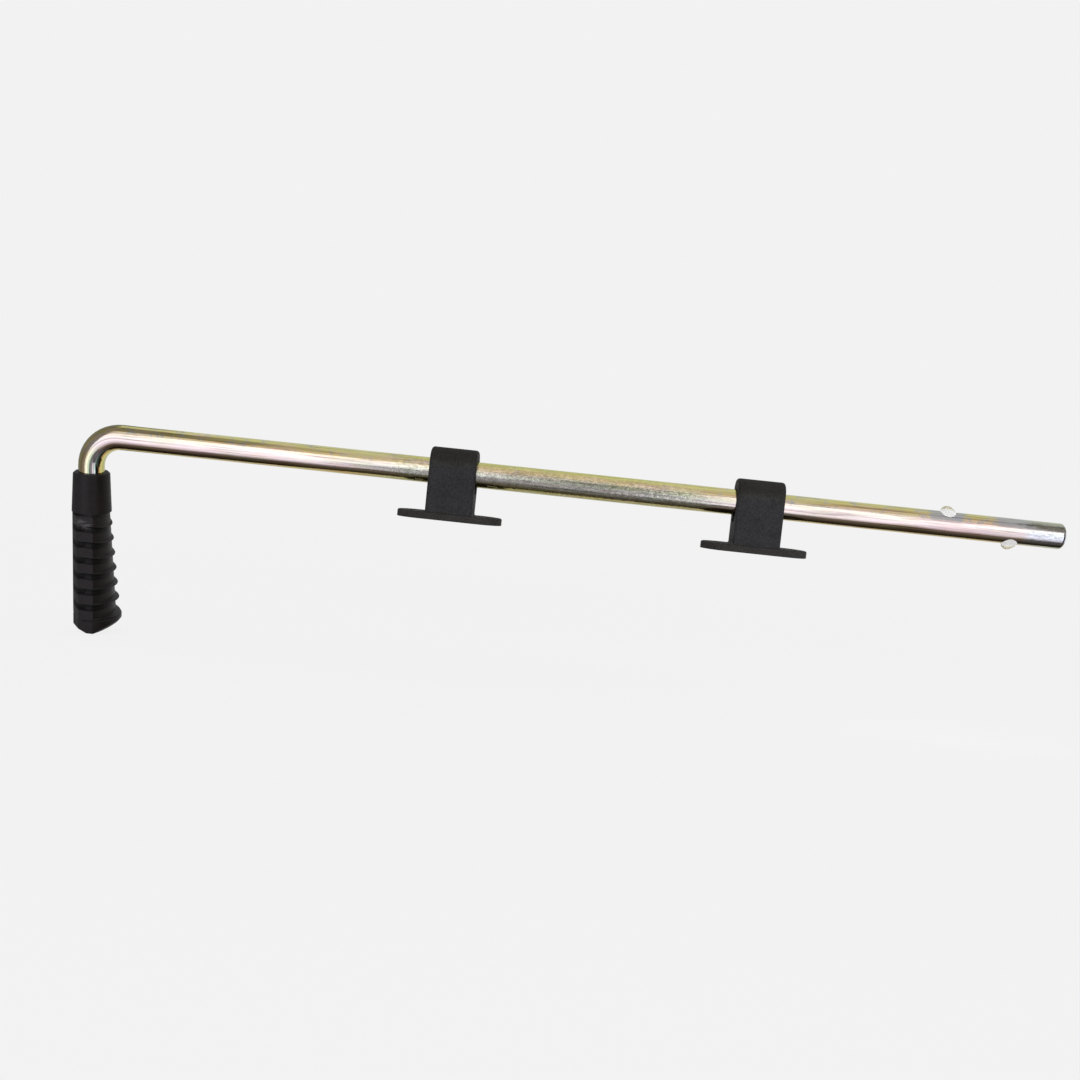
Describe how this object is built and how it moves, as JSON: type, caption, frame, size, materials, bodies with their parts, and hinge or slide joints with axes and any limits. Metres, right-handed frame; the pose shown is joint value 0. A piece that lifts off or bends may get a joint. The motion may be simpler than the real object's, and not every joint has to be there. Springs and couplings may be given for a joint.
{
  "type": "floor bolt",
  "caption": "Cranked sliding gate bolt: a bent round bar with a ribbed grip and two lugs, held in keyhole guides that screw to the gate.",
  "frame": {"origin": "middle of the upper guide's mounting face, between its two screw holes", "axes": "+X along the bar towards its tip, which is down when the bolt hangs on a gate; +Z out of the mounting face towards the bar; the handle leg points to -Z and leans 12 degrees to +Y, as in the picture"},
  "size_m": [0.6191, 0.0578, 0.1427],
  "materials": {
    "plated_steel": "drawn round bar with yellow iridescent zinc plating, satin to bright",
    "bare_steel": "ground steel, light grey",
    "grip_plastic": "black moulded plastic, satin",
    "guide_plastic": "black moulded plastic, fine matte grain"
  },
  "bodies": {
    "upper_guide": {"upper_guide": "guide_plastic"},
    "bolt": {"bolt_rod": "plated_steel", "hold_lug": "bare_steel", "stop_lug": "bare_steel", "handle_grip": "grip_plastic"},
    "lower_guide": {"lower_guide": "guide_plastic"}
  },
  "joints": [
    {"name": "bolt_slide", "type": "slide", "parent": "upper_guide", "child": "bolt", "axis": [1, 0, 0], "range_m": [-0.0959, 0.1864]},
    {"name": "lower_guide_slide", "type": "slide", "parent": "bolt", "child": "lower_guide", "axis": [1, 0, 0], "range_m": [-0.1864, 0.0959]}
  ],
  "couplings": [
    {"joint": "lower_guide_slide", "follows": "bolt_slide", "ratio": -1}
  ]
}
